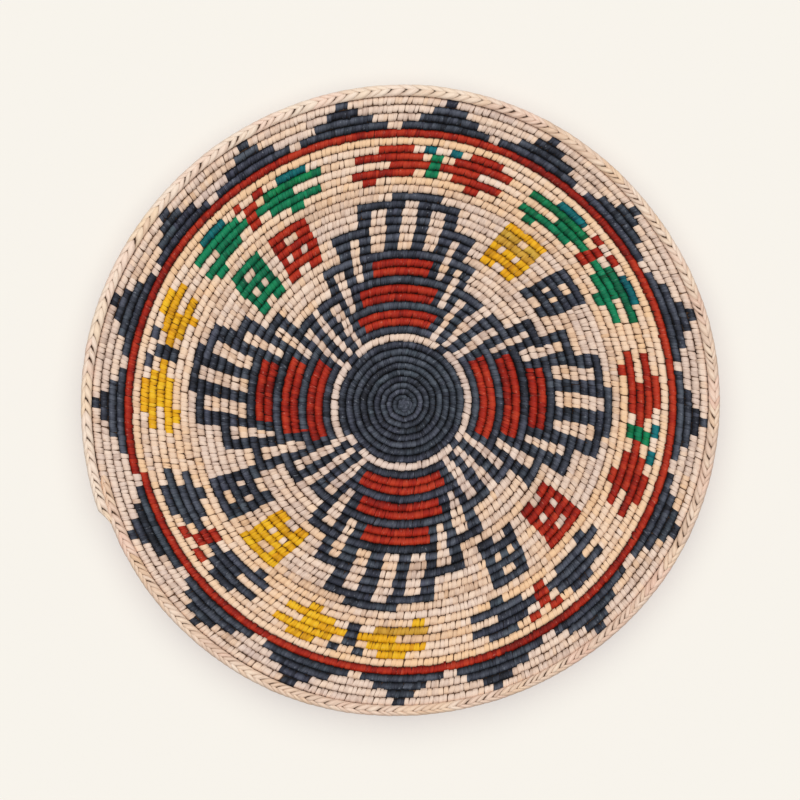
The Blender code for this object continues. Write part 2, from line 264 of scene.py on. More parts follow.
# Where the darker dyes lie over them, the stems are painted nearly black, as painted shade in the deep
# grooves between dark rounds.
groove_shade_mark = add(dry_grass, "ShaderNodeAttribute", {"attribute_name": "groove_shade_mark"}).outputs["Fac"]
groove_shaded_stems = add(dry_grass, "ShaderNodeMix", {"data_type": "RGBA"},
              _0=groove_shade_mark, _6=colour, _7=linear("#08090E"))
hollows = add(dry_grass, "ShaderNodeBump", Height=stems.outputs["Fac"], Distance=0.0003)
dry_grass.node_tree.links.new(groove_shaded_stems.outputs[2], shader.inputs["Base Color"])
dry_grass.node_tree.links.new(hollows.outputs[0], shader.inputs["Normal"])
shader.inputs["Roughness"].default_value = 0.85

# It starts inside the knot and thins out inside the rim, with 72 short lengths to a turn.
BUNDLE_FROM, BUNDLE_TO, BUNDLE_STEPS = 0.08, 39.98, 72
ring = bmesh.new()
bmesh.ops.create_circle(ring, segments=8, radius=1.0, matrix=Matrix.Rotation(pi / 2, 4, "Y"))
grow(ring, ring.edges[:], (2.0, 0.0, 0.0))
row = row_of(ring, int(BUNDLE_STEPS * (BUNDLE_TO - BUNDLE_FROM)), joined=True)
along, across, up = points_of(row)
turn = BUNDLE_FROM + along / 2 / BUNDLE_STEPS
fat = 1.0 - 0.6 * ramp(turn, 39.9, BUNDLE_TO)
# Its sides meet the next round's, so that no light passes between the rounds.
reach = np.sign(across) * np.abs(across) ** 1.3
wide = 0.54 + 0.06 * ramp(turn, 37.9, 38.0)
wide += (across > 0) * (0.07 * ramp(turn, 38.8, 38.85) - 0.40 * ramp(turn, 38.99, 39.01))
places = on_coil(
    turn,
    reach * coil_pitch(turn) * wide * fat + 0.0003 * rim_growth(turn),
    up * half_height(turn) * (0.62 + 0.25 * rim_growth(turn)) * fat + 0.0008 * rim_growth(turn),
)
stem_mm = np.stack((np.interp(turn, TURNS, LENGTHS) * 1000, across * 2.0, up * 2.0), axis=-1)
bundle = finished("grass_stems", row, places, dry_grass, stem_mm=stem_mm)
stem_turns = turn
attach(bundle, "plate")
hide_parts("grass_bundle")


# Centre knot
# The coil starts as a tight button of navy strips round the folded end of the bundle. Each
# strip of leaf goes round the bundle and bites into the round before it.
def closed_tube(segments, turned, steps):
    """A tube of unit radius that grows by steps from a turned circle, with both ends closed."""
    shape = bmesh.new()
    bmesh.ops.create_circle(shape, segments=segments, radius=1.0, matrix=turned)
    edges = shape.edges[:]
    for step in steps:
        edges, _ = grow(shape, edges, step)
    close_ends(shape)
    return shape


def stitch_shape():
    """One stitch: a flat strip round the bundle, with rolled edges and a tooth inwards.

    Y points away from the middle of the plate and Z out of its face, and the angle is counted
    from Y towards the face and the back alike.
    """
    upright = Matrix.Translation((-0.5, 0.0, 0.0)) @ Matrix.Rotation(pi / 2, 4, "Y")
    shape = closed_tube(12, upright, [(step, 0.0, 0.0) for step in (0.10, 0.40, 0.40, 0.10)])
    for vert in shape.verts:
        across, up = vert.co.y, vert.co.z
        angle = np.degrees(np.arctan2(abs(up), across))
        if 140 < angle < 160:
            # The tooth reaches in and narrows, and leans a little along the coil.
            vert.co.y -= 0.22
            vert.co.z *= 1.22
            vert.co.x = vert.co.x * 0.76 + 0.06
        elif 110 < angle < 130:
            # The flank above the tooth.
            vert.co.y -= 0.10
            vert.co.x = vert.co.x * 0.97 + 0.015
        elif 20 < angle < 40:
            # The outer flank, where the next round's stitches start to close in.
            vert.co.x *= 0.93
        elif angle < 20 or angle > 160:
            # Hidden between the rounds, where strips are drawn together.
            vert.co.x *= 0.70
    return shape


def leaf_material(name, deep, plain, pale, cool, warm, shade, fleck):
    """Dyed or natural leaf strip, split by hand and sewn damp, so it dries matt and hard.

    Each strip keeps a tone of its own from deep to pale and a tint from cool to warm, fine
    fibres run along it, painted shade darkens its rolled edges and its flanks down into the
    grooves, and rubbed places show as sparse pale flecks.
    """
    material, shader = new_material(name)
    shader.inputs["Specular IOR Level"].default_value = 0.20
    tone = add(material, "ShaderNodeAttribute", {"attribute_name": "tone"}).outputs["Fac"]
    warmth = add(material, "ShaderNodeAttribute", {"attribute_name": "warmth"}).outputs["Fac"]
    crevice = add(material, "ShaderNodeAttribute", {"attribute_name": "crevice"}).outputs["Fac"]
    strip = add(material, "ShaderNodeAttribute", {"attribute_name": "strip_mm"}).outputs["Vector"]
    # Fibres 0.3 mm apart would be too fine to show, so they are drawn about 0.8 mm apart.
    fibre_place = add(material, "ShaderNodeMapping", Vector=strip, Scale=(1 / 0.8, 0.22, 1.0))
    fibres = add(material, "ShaderNodeTexNoise", Vector=fibre_place.outputs[0], Scale=1.0, Detail=3.0)
    lean = add(material, "ShaderNodeMapRange", Value=fibres.outputs["Fac"],
               From_Min=0.3, From_Max=0.7, To_Min=-0.26, To_Max=0.26)
    toned = add(material, "ShaderNodeMath", {"operation": "ADD"}, _0=tone, _1=lean.outputs[0])
    tones = add(material, "ShaderNodeValToRGB", Fac=toned.outputs[0])
    leaf = colours_along(tones, [(0.05, deep), (0.5, plain), (0.95, pale)])
    tints = add(material, "ShaderNodeValToRGB", Fac=warmth)
    tint = colours_along(tints, [(0.05, cool), (0.5, "#FFFFFF"), (0.95, warm)])
    tinted = add(material, "ShaderNodeMix", {"data_type": "RGBA", "blend_type": "MULTIPLY"},
                 _0=1.0, _6=leaf, _7=tint)
    # Rubbed flecks are about 1 mm wide and twice as long, away from the fibres' own pattern.
    rub_place = add(material, "ShaderNodeMapping", Vector=strip, Scale=(0.9, 0.45, 1.0),
                    Location=(7.0, 3.0, 5.0))
    rubs = add(material, "ShaderNodeTexNoise", Vector=rub_place.outputs[0], Scale=1.0, Detail=4.0)
    rubbed = add(material, "ShaderNodeMapRange", Value=rubs.outputs["Fac"],
                 From_Min=0.62, From_Max=0.72, To_Min=0.0, To_Max=0.55)
    flecked = add(material, "ShaderNodeMix", {"data_type": "RGBA"},
                  _0=rubbed.outputs[0], _6=tinted.outputs[2], _7=linear(fleck))
    # Painted shade: the shade colour darkens the strip by its crease mark, on rolled edges, down the
    # flanks into the grooves and in folds.
    shaded = add(material, "ShaderNodeMix", {"data_type": "RGBA"},
                 _0=crevice, _6=flecked.outputs[2], _7=linear(shade))
    gloss = add(material, "ShaderNodeMapRange", Value=fibres.outputs["Fac"],
                From_Min=0.3, From_Max=0.7, To_Min=0.48, To_Max=0.66)
    # The creases, where the shade is painted, are rougher too.
    dulled = add(material, "ShaderNodeMath", {"operation": "MULTIPLY_ADD"},
                 _0=crevice, _1=0.35, _2=gloss.outputs[0])
    ridges = add(material, "ShaderNodeBump", Height=fibres.outputs["Fac"], Distance=0.00012)
    for source, socket in ((shaded.outputs[2], "Base Color"), (dulled.outputs[0], "Roughness"),
                           (ridges.outputs[0], "Normal")):
        material.node_tree.links.new(source, shader.inputs[socket])
    return material


LEAVES = {
    "navy": (leaf_material("navy_dyed_leaf", "#1F2129", "#3B3F4B", "#5B606C",
                           "#F0E8FA", "#E4FAF2", "#04050A", "#9DA2AC"), "navy_leaf"),
}
# For each dye: how far a strip's creased edges are pressed in, which also sets the painted shade
# on them, how high up its flanks the painted shade starts and where it is full, how much more of
# it is painted on the flank towards the middle, and how far each strip laps its neighbour.
SHADES = {"navy": (0.22, 1.12, 0.38, 0.12, 1.10)}
# Stitches of two rounds stand this far apart where they are widest, and one leaf, which keeps
# its tone, lasts for this much of the coil.
STITCH_GAP, LEAF_RUN = 0.00025, 0.045


def sew(name, node, dye, middles, spans, tone=0.5, warmth=0.5):
    """Sew stitches of one dye over the bundle, in the place of a CAD band.

    Their middles and the spans that they fill are in turns of the coil.
    """
    chance = np.random.default_rng(len(middles))
    row = row_of(stitch_shape(), len(middles))
    x, y, z = points_of(row)
    stitch = np.rint(x / 2).astype(int)
    side = x - 2 * stitch
    shake = chance.normal(0.0, 1.0, (8, len(middles)))
    # A strip's edges are pressed in more on one stitch than on the next.
    pressed = chance.uniform(0.0, 1.0, (2, len(middles))) ** 1.5
    press = np.where(side < 0, pressed[0][stitch], pressed[1][stitch])
    rolled = ramp(np.abs(side), 0.38, 0.50)
    crease, start, full, lean, lap = SHADES[dye]
    edge = np.abs(side) > 0.29 + 0.16 * (np.abs(y) < 0.7)
    sized = 1.02 - 0.02 * rolled - crease * (0.02 + 0.10 * press) * edge
    half = (coil_pitch(middles) - STITCH_GAP)[stitch] / 2
    slant = (0.20 + 0.08 * shake[0])[stitch]
    # It is drawn in where the next round's strips pass over its outer end.
    nip = 1.0 - crease * (0.08 + 0.24 * press) * (y > 0.8)
    turn = middles[stitch] + (side * lap * nip + 0.06 * shake[1][stitch]) * spans[stitch]
    turn -= slant * y * half / (2 * pi * coil_radius(middles))[stitch]
    tooth = 0.0004 * np.abs(shake[6])[stitch] * (y < -0.95) * (np.abs(z) > 0.3)
    across = y * sized * half + 0.0002 + 0.00009 * shake[3][stitch] - tooth
    up = z * sized * half_height(turn) * (1.0 + 0.035 * shake[2])[stitch]
    places = on_coil(turn, across, up)
    leaf = (np.interp(middles, TURNS, LENGTHS) / LEAF_RUN).astype(int)
    leaves = np.random.default_rng(11).normal(0.0, 1.0, (2, 600))
    vary = 0.14 if dye == "cream" else 0.20
    tones = tone + vary * (0.8 * leaves[0][leaf] + 0.85 * shake[4])
    warmths = warmth + 0.10 * leaves[1][leaf] + 0.06 * shake[5]
    # Painted shade: the rolled edges are darkened, and so are the flanks down into the grooves between
    # rounds, more on the flank towards the middle.
    seam_shade = rolled * (0.15 + 0.85 * press) * crease
    flank_shade = ramp(-np.abs(z) - lean * y, -start, -full)
    # Natural leaf gets less of this painted shade in the outer bands.
    if dye == "cream":
        flank_shade *= 1.0 - 0.24 * ramp(turn, 17.0, 29.0)
    # Across and along the strip in mm, and a place in the pattern for each strip alone.
    strip_mm = np.stack((side * 3.1, np.degrees(np.arctan2(z, y)) * 0.04, stitch * 7.3), axis=-1)
    material, slot = LEAVES[dye]
    piece = finished(
        name, row, places, material,
        tone=np.clip(tones, 0, 1)[stitch], warmth=np.clip(warmths, 0, 1)[stitch],
        crevice=np.clip(np.maximum(seam_shade, flank_shade), 0, 1), strip_mm=strip_mm,
    )
    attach(piece, "plate")
    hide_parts(node)


# Nine stitches fill the first turn, and the first ones are broader.
knot_spans = np.linspace(1.6, 1.0, 9)
knot_spans /= knot_spans.sum()
sew("centre_knot_stitches", "centre_knot", "navy", np.cumsum(knot_spans) - knot_spans / 2, knot_spans)

# The strips that start the coil cross over its middle as a low swirled dome, whose folds run
# together a little off its own middle.
BUTTON_RADIUS, BUTTON_SEAT, BUTTON_RISE, BUTTON_ROOT = 0.0050, 0.0014, 0.0019, 0.0012
BUTTON_X, BUTTON_Z, SWIRL_X, SWIRL_Z = 0.0014, -0.0016, 0.0003, -0.0005
button = bmesh.new()
bmesh.ops.create_icosphere(button, subdivisions=4, radius=1.0)
mesh = mesh_of("centre_button", button)
x, y, z = points_of(mesh)
flat_x, flat_z = BUTTON_X + BUTTON_RADIUS * x, BUTTON_Z + BUTTON_RADIUS * z
out = np.hypot(flat_x - SWIRL_X, flat_z - SWIRL_Z) * 1000
fold = np.sqrt(np.abs(np.sin(2.5 * np.arctan2(flat_x - SWIRL_X, flat_z - SWIRL_Z) - 0.7 * out)))
fold = 1.0 - (1.0 - fold) * ramp(out, 0.4, 1.8)
dome = BUTTON_SEAT + BUTTON_RISE * np.abs(y) ** 0.4 * (0.68 + 0.32 * fold)
rise = np.where(y < 0, dome, BUTTON_SEAT - BUTTON_ROOT * y)
places = np.stack((flat_x, -rise, flat_z), axis=-1)
# Painted light and shade: the ridges of the folds are a little lighter, and their hollows are darkened.
piece = finished("centre_button", mesh, places, LEAVES["navy"][0],
                 tone=0.45 + 0.1 * fold, warmth=np.full(len(x), 0.45), crevice=(1.0 - fold) * 0.9,
                 strip_mm=np.stack((out, fold * 2.0, y), axis=-1))
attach(piece, "plate")
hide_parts("centre_knot")


# Centre disc
# Rounds 2 to 9 are plain navy leaf, sewn stitch by stitch over the bundle with strips split
# narrower than on the rest of the face.
TENTHS_ROUND = 3600  # tenths of a degree in a round


def runs_of(chart):
    """Read a band's chart: the first and last turn and the dye of each run of one dye.

    A line names a round and its ground, then each dye with the clock angles that it spans,
    to a tenth of a degree. A long line goes on in indented ones.
    """
    runs = []
    for line in chart.replace("\n    ", " ").strip().splitlines():
        head, spans = line.split(":")
        number, dye = head.split()
        before = int(number) - 1
        tenths = [dye] * TENTHS_ROUND
        for word in spans.split():
            if word[0].isalpha():
                dye = word
                continue
            first, last = map(float, word.split("-"))
            start = round((SEAM_CLOCK - last) % 360.0 * 10)
            for tenth in range(start, start + round((last - first) % 360.0 * 10)):
                tenths[tenth % TENTHS_ROUND] = dye
        start = 0
        for dye, stretch in groupby(tenths):
            end = start + len(list(stretch))
            runs.append((before + start / TENTHS_ROUND, before + end / TENTHS_ROUND, dye))
            start = end
    return runs


# Under leaf of these dyes the stems keep their own colour. The others' runs are kept, for painted shade
# on the stems under them.
BRIGHT_DYES = ("cream", "yellow", "ochre")
dark_dye_runs = []


def sew_band(node, chart, pale_width=0.0029, dyed_width=0.0022, tone=0.5, warmth=0.5, dyed_tone=0.54):
    """Sew a whole band from its chart, one piece for each dye in it.

    The first tone and the warmth are those of its natural leaf.
    """
    sewn = {}
    for start, end, dye in runs_of(chart):
        length = (end - start) * 2 * pi * coil_radius((start + end) / 2)
        count = max(1, round(length / (pale_width if dye == "cream" else dyed_width)))
        # Hand-split strips differ in width, from leaf to leaf and along each leaf, but each
        # run of a dye is filled from end to end.
        widths = np.random.default_rng(int(start * 1000)).uniform(0.72, 1.28, count)
        widths *= 1.0 + 0.25 * np.sin(np.arange(count) / 5.0 + 9.0 * start)
        spans = widths * (end - start) / widths.sum()
        sewn.setdefault(dye, []).append((start + np.cumsum(spans) - spans / 2, spans))
        if dye not in BRIGHT_DYES:
            dark_dye_runs.append((start, end))
    for dye, stretches in sewn.items():
        middles, spans = (np.concatenate(parts) for parts in zip(*stretches))
        shift = (tone, warmth) if dye == "cream" else (dyed_tone, 0.5)
        sew(f"{node}_{dye}_stitches", node, dye, middles, spans, *shift)


sew_band("centre_disc_wrap", """
2 navy:
3 navy:
4 navy:
5 navy:
6 navy:
7 navy:
8 navy:
9 navy:
""", dyed_width=0.0018)

# White ring
# Round 10 is natural leaf, left undyed and split broader than the navy. Navy strips break it
# where the corners of the four arms start.

# Natural leaf: pale straw with a pink cast, with warm brown painted shade in its creases.
LEAVES["cream"] = (leaf_material("natural_leaf", "#C8AD9C", "#E9CFBC", "#F7DEC9",
                                 "#F2F4FC", "#FFECCE", "#683E20", "#CDA886"), "natural_leaf")
SHADES["cream"] = (0.80, 0.90, -0.10, 0.0, 1.05)
sew_band("white_ring_wrap", """
10 cream: navy 31.8-40.3 125.3-133 221.5-229 239.5-255 306.5-315.5
""", tone=0.66, warmth=0.32, dyed_tone=0.70)

# First bars
# Rounds 11 to 13 have a navy ground, with a red bar at the foot of each arm and checks of
# natural leaf between the arms, where the sewer changed strips at each corner.

# Red dye: a deep brick red that takes the leaf's gloss, with painted shade nearly black in its creases.
LEAVES["red"] = (leaf_material("red_dyed_leaf", "#7D1306", "#A8200B", "#C23B1E",
                               "#FFDEE2", "#FFE6D0", "#280202", "#D08A74"), "red_leaf")
SHADES["red"] = (0.22, 1.14, 0.05, 0.15, 1.10)
sew_band("first_bar_wrap", """
11 navy: cream 22.8-28.4 34.2-39.3 46-52 116.4-121.3 128.7-135 140.7-146.4 212-217 224.6-229.8 237-255
    300.6-304.3 310.6-315.3 321.2-325.7
12 navy: red 332.5-19 58.5-112.5 152.8-208.4 255-295.7 cream 24.3-29 35.1-40 47.6-52.8 117.3-122.4
    128.7-134 140-146.7 213.3-219 225.3-230 236.3-242.2 301-304.8 310.4-315.2 321.1-325.2
13 navy: red 330.8-21 59.2-113.3 152.7-209.2 246.8-296.8 cream 26-30 35.4-40.3 47.3-53.2 117.8-122.8
    128.3-135 139.9-146.2 214.2-220 225.5-231 235-240.6 301-305.5 310.6-315.4 320-325.8
""", tone=0.55, warmth=0.40, dyed_tone=0.62)

# Second bars
# Rounds 14 to 16 are sewn in the same leaf: the second red bar of each arm, and the checks
# run on at both sides of it.
sew_band("second_bar_wrap", """
14 navy: red 246.5-255 cream 26.3-30.3 35.8-42.2 47-53.8 118.8-124 130-133.8 140.5-146.2 215.7-221.3
    226.5-231 236-241.5 302.8-307.2 311.6-315.8 322-326.9
15 navy: red 337.5-16 65.3-107.2 160.5-203.5 253.7-291.2 cream 19.4-23.5 27.3-31 36.8-42.7 48-53.3
    58.5-61.8 110.8-115.5 119.7-124.2 129.7-135 140.3-146.2 151-154.5 208.3-212.5 216.7-222.2
    226.9-231.3 236.2-241.4 295-299.4 304-307.3 311.8-316 321.3-326.5 330-333.5
16 navy: red 338-17 65-107.8 160.3-203.8 254-292.2 cream 20.3-23.7 27.8-32.3 38.3-43.3 49.5-54.2
    58.8-62.2 112-116 120.2-125 130-135 140.4-146.2 150.5-155.6 209-214 217-222.5 227.3-231.3
    236.6-241.4 245.2-249.5 296-300 303.8-308.3 313-316.8 321.3-326.9 330.3-334
""", tone=0.34, warmth=0.44)

# Third bars
# Rounds 17 to 19: after one more navy round the ground turns to natural leaf, and the arms
# stand on it in navy, with the third red bar.
sew_band("third_bar_wrap", """
17 navy: cream 21-24.6 39.6-44.8 58.8-62.4 112.2-117 130.6-135.6 151.3-157 209.3-214.3 228.2-232.6
    236.7-241.4 245.6-251.2 296.6-300.9 314.2-317.1 330.4-335
18 cream: navy 326.8-28.2 55.1-122.4 146.8-219 232.8-305.2 cream 330.7-334.8 339.1-342.4 14.9-17.9
    21.4-24.5 59.5-62.8 66.6-71.6 104.8-108.1 112.4-117.6 151.9-158.2 162.2-165.4 201.2-205.2
    209.2-214.8 247.1-251.2 255.7-258.2 290.4-293.6 297.1-300.8 red 347-11.2 75-101 168.9-196.9
    261.7-287
19 cream: navy 327.5-28 55.5-122.7 147-219.2 243.5-305.6 cream 330.9-335.3 339.4-343 15.2-18.6 21.6-24.4
    59.6-62.4 66.4-71.6 105.1-108.3 113-117.9 152.4-157.8 161.8-165.9 201.6-205 209.6-214.7 247-251.5
    256-259.4 290.7-294 297.9-301.4 red 347.3-11.9 75.8-101 169-197.5 262.8-287.1
""", tone=0.58, warmth=0.54)

# House band
# Rounds 20 to 27: the stepped tops of the four arms, and between them eight small houses
# with a door, two windows and a loft, in yellow, navy, red and green leaf.

# Yellow and green dye are clear and strong. The ochre is a duller lot of the same yellow.
LEAVES["yellow"] = (leaf_material("yellow_dyed_leaf", "#C2880F", "#E8A910", "#F5C024",
                                  "#FFE9DA", "#F6FFD0", "#7A4C08", "#DCB468"), "yellow_leaf")
LEAVES["ochre"] = (leaf_material("ochre_dyed_leaf", "#AA7E24", "#C99C34", "#DCB049",
                                 "#FFE9DA", "#F2FFD0", "#64400C", "#D0B484"), "yellow_leaf")
LEAVES["green"] = (leaf_material("green_dyed_leaf", "#004D35", "#006B47", "#0A865A",
                                 "#D8FFF8", "#EEFFC8", "#021408", "#62A080"), "green_leaf")
SHADES.update(yellow=(0.45, 0.90, -0.10, 0.10, 1.05), ochre=(0.45, 0.90, -0.10, 0.10, 1.05),
              green=(0.22, 1.06, 0.05, 0.10, 1.10))
sew_band("house_band_wrap", """
20 cream: navy 327.8-28.6 55.7-124 147.7-218.8 243.3-305.6 cream 340-343.2 15.6-18.4 68-72.3 105.3-108.7
    162.9-167 202.3-205.7 247.2-252 257-260.5 290.8-294.1
21 cream: navy 336.2-23.1 65-113.6 158.5-210.2 244.3-298.4 cream 340.4-344 348-353.2 358-3.2 7.5-11.6
    16.2-18.8 68.2-72 76.5-81.5 86-91.8 96.6-100.5 105.2-108.7 163-167.6 171.8-177.2 181.5-187.2
    192.2-197.3 202.3-206.7 257.4-261.6 264.6-270 273.8-278.6 282.2-286.8 290.6-294.4
22 cream: navy 336.3-23.6 65-114.2 158.8-210 253.5-298.7 cream 341.5-344.6 348.6-353.8 358.7-3.5
    7.8-12.3 16.7-19.4 68.5-72.2 76.8-81.9 86.3-91.8 96.5-101 105.2-108.4 163.2-168.4 172-178
    182.2-187.4 192.7-197.4 202.6-206.2 257.7-262 266-270.6 274.1-278.7 282.5-286.8 290.9-294.6
    yellow 28.4-41.5 navy 46.6-58.6 red 119.8-133.4 navy 138.8-153 yellow 215.7-229 navy 233.3-247.5
    green 302.4-313.9 red 317.2-330.6 cream 33-36.9 50.4-54.8 124.5-128.6 142.4-147 220-224.3
    237.4-242.5 306.2-309.6 321.7-326
23 cream: navy 336-24 65.5-114.7 159.2-210 254.2-298.7 cream 348.8-354.6 358.9-3.9 8-12.8 78-82.8
    87-91.9 96.6-101.2 173-178.9 182.5-187.6 192.5-197.6 266.8-271.3 275-279.2 283-287.4
    yellow 28.8-42.7 navy 47.8-60 red 119.9-133.6 navy 139.6-153 yellow 216.2-229.8 navy 234-247.5
    green 303.2-314.9 red 318.2-331.4
24 cream: navy 345.8-16.9 74.9-105.5 170.1-202.4 263-293.3 cream 350-354.6 359.6-4.2 8.3-12.9 79.3-83.1
    87.8-92.1 97-101.8 174.6-179.3 183.4-188.2 193.4-198 267.2-271.6 275.6-279.6 284-288.3
    yellow 29.1-43 navy 48.4-60.6 red 120.2-133.6 navy 140.6-153 yellow 216.6-229.8 navy 234-247.6
    green 303.5-314.8 red 319-331.9 cream 32-33.8 37.5-39.3 51-52.5 54.8-56.5 122.8-124.7 128.3-130.6
    142.8-145 147.5-149.6 220-221.6 224.6-226.5 237.2-239.2 242.8-244.6 305.8-308 310.2-312.2 321-323
    326.2-328.5
25 cream: navy 346.3-16.5 75.3-106.2 170.7-203.1 263.4-292.9 cream 350.5-354.9 359.6-4.4 8.7-12.7
    79.7-83.4 88.2-92.6 96.8-101.5 174.8-179.7 183.1-188.8 193.8-198.4 267.8-272.1 276.1-280 284.5-288.5
    ochre 29.5-43 navy 48.7-60.9 red 120.5-133.8 navy 141-153.4 yellow 217.4-230 navy 234.7-247.9
    green 303.3-315 red 319.2-331.7
26 cream: navy 346.6-16.5 76-106.3 171-203.4 263.9-292.8 cream 0.6-4.4 88.5-92.5 184.7-189.3 276.6-280.4
    ochre 30.2-43 navy 49.3-60.9 red 121-134 navy 141.7-153.6 yellow 217.8-230.2 navy 235.1-248.2
    green 304.2-315.4 red 319.4-331.8 cream 36-38.6 53.3-56.8 125.2-129 145.6-149.4 221.8-226
    239.5-243.6 308-311.4 323.5-327.7
27 cream: navy 356.9-11 yellow 30.5-43.3 navy 50-61.3 85.8-99.9 red 121.3-134.5 navy 142.7-154 182-196.9
    yellow 218.1-231 navy 235.8-248.3 273.1-286.3 green 305.4-315.8 red 319.8-331.8
""", warmth=0.60, dyed_tone=0.54)

# Inner pale ring
# Round 28 is plain natural leaf, sewn all round without a change of strip. It is a little
# warmer than the leaf inside it.
sew_band("inner_pale_ring_wrap", "28 cream:", tone=0.62, warmth=0.74)

# Butterfly band
# Rounds 29 to 33: eight butterflies with feet, two pairs of wings and split feelers, in
# red, green, navy and yellow on a ground of yellower natural leaf.

# Teal: the green dye with more blue in it, in the butterflies' feelers and wing tips.
LEAVES["teal"] = (leaf_material("teal_dyed_leaf", "#004052", "#005E62", "#0A767A",
                                "#D8ECFF", "#D8FFE0", "#021418", "#5C9898"), "green_leaf")
SHADES["teal"] = (0.22, 1.06, 0.05, 0.10, 1.10)
sew_band("butterfly_band_wrap", """
29 cream: red 349.5-353 16-19.6 green 33-35.8 60.5-64 red 80.2-83 107.3-111 navy 125.8-128.9 153-156.8
    yellow 174.6-177.7 201.4-204.6 navy 218.3-221 244.3-247.4 yellow 264.7-268.2 290-292.2
    green 304.5-307.8 329.8-333.6
30 cream: red 347.2-2.8 green 5.6-8.8 red 12.2-24.8 green 30.8-46 red 49.6-52.8 green 56-69.8
    red 77.2-92.7 green 95.6-99 red 102.4-116 navy 123-138 red 142-145 navy 148.7-162.9
    ochre 173.8-187.3 navy 190.9-194 yellow 197.2-210 navy 216.4-229.8 red 233-236.6 navy 240.3-252.5
    yellow 262.5-276 navy 280-283.2 yellow 285.7-296.5 green 302.8-315.3 red 319-321.8 green 325-339
31 cream: red 356.8-6.3 green 6.3-9 red 9-18.5 green 40.2-50.4 red 50.4-53.4 green 53.4-64 red 85.3-96
    green 96-99.4 red 99.4-111.6 navy 130.4-142.3 red 142.3-146 navy 146-156.4 yellow 181.8-191
    navy 191-194 yellow 194-205.1 navy 223.6-233.9 red 233.9-237.6 navy 237.6-249.5 yellow 269-280.3
    navy 280.3-283.5 yellow 283.5-291.7 green 309-319.2 red 319.2-322.1 green 322.1-332.6
32 cream: red 348.7-4.7 green 6.8-9.4 red 12.1-26 green 31.5-48.2 red 51.2-53.6 green 56.5-71
    red 78.4-93.8 green 97-100 red 103.2-117.7 navy 126.2-140.5 red 143.1-146 navy 149.3-163.5
    yellow 174.9-188.7 navy 191.3-194.3 yellow 197.2-211.5 navy 217.3-231.2 red 234.6-237.7
    navy 240.5-254.4 yellow 264-277.5 navy 280.6-283.5 yellow 286.5-298.3 green 303.7-317.8
    red 320-323.4 green 325.7-340.5
33 cream: red 354.6-2.5 teal 5-7.5 11-13.5 red 15.7-23 teal 38.2-46 red 49-51.6 54.6-57.4 teal 60-67.2
    red 84-91.5 teal 95.2-98.1 101.2-104.3 red 106.9-113.7 navy 131.7-137.9 red 140.9-144.1 147-149.6
    navy 152.7-160.1 yellow 179.6-186 navy 189.2-191.7 195-197.4 yellow 201-207.4 navy 222.5-229
    red 231.5-235 238-240.8 navy 243.8-251 yellow 268-275.5 navy 278-281 284.5-287.2 yellow 290.5-296.2
    teal 308-315.3 red 318.4-320.2 323.7-326.5 teal 330-337.5
""", tone=0.82, warmth=0.72, dyed_tone=0.64)

# Outer pale ring
# Round 34 is plain natural leaf again, the palest on the face, and parts the butterflies from
# the red ring.
sew_band("outer_pale_ring_wrap", "34 cream:", tone=0.98, warmth=0.84)

# Red ring
# Round 35 is one unbroken round of red leaf, in strips as narrow as those of the red
# butterflies.
sew_band("red_ring_wrap", "35 red:")

# Mountain band
# Rounds 36 to 39: seventeen navy mountains on natural leaf, each stepped in to a single
# stitch in the last round before the rim.
sew_band("mountain_band_wrap", """
36 cream: navy 359.8-18 20.2-38.4 41.2-59.4 62-81.5 83.6-102 105-123.7 126.8-146.5 149.6-168.9
    171.7-188.8 191.6-210 213-231 233.7-252.4 259.6-277 279.6-297.2 299.4-315.7 318.2-335.8 338.3-356.8
37 cream: navy 3.4-15.3 24.2-36 44-56 65.5-79 87.5-99.1 109-121 132-144.2 153.8-167 175.4-186.2
    195.3-207.6 216.4-229 237.6-249.2 263.3-274.4 283.3-294.5 302.5-313.4 321.9-333 342-353.9
38 cream: navy 6-12.5 27-33 47.6-52.8 70-76 91.2-96.5 111.6-118.2 135.7-141.2 158-164 178-183.3
    198.8-204.8 220.3-226.8 241.3-246.5 266.5-272.2 286.1-292.3 305.4-310.7 325.1-330.3 345-351.1
39 cream: navy 8.3-10.4 29.2-31 49.5-51.5 72-74.3 93-94.7 114.2-116.7 137.7-140 160.6-162.5 179.8-182
    201-203.8 222.8-224.4 243.1-245 269-271 288.5-290.8 307.1-309.3 326.9-329.1 347-349.4
""", tone=0.54, warmth=0.50)

# Under the darker dyes, and under the navy of the knot, the stems are painted dark, as painted shade in
# the grooves.
GROOVE_SHADE_AMOUNT = 0.85
groove_shade_by_stem = np.where(stem_turns < 1.0, GROOVE_SHADE_AMOUNT, 0.0)
for start, end in dark_dye_runs:
    groove_shade_by_stem[(stem_turns > start) & (stem_turns < end)] = GROOVE_SHADE_AMOUNT
mark_points(bundle.data, "groove_shade_mark", groove_shade_by_stem)

# Rim braid
# The last round is a false braid: broad strips of natural leaf go over the edge on a slant
# from both sides and cross along its crest, like a plait. Its end is tucked on the outside.
RIM_STRIP_WIDTH = 0.0056
# How far the rim stands out past a plain round on each side, and its extra thickness as a share.
RIM_SWELL, RIM_EXTRA = 0.00085, 0.33
# Each strip starts on the back, this many degrees round its section from the crest.
STRIP_START = -205.0
# Natural leaf too, a little lighter than the face's and split about twice as broad.
rim_leaf = leaf_material("rim_natural_leaf", "#DDC0A9", "#EFD3BD", "#FCE8D4",
                         "#FFEAE8", "#FFF2DC", "#7C5438", "#D8B898")


def rim_strip():
    """A flat strip with rolled edges, one unit long, to be laid round the rim."""
    steps = 14
    shape = closed_tube(8, Matrix.Rotation(-pi / 2, 4, "X"), [(0.0, 1.0 / steps, 0.0)] * steps)
    bmesh.ops.scale(shape, verts=shape.verts, vec=(0.5, 1.0, 0.5))
    return shape


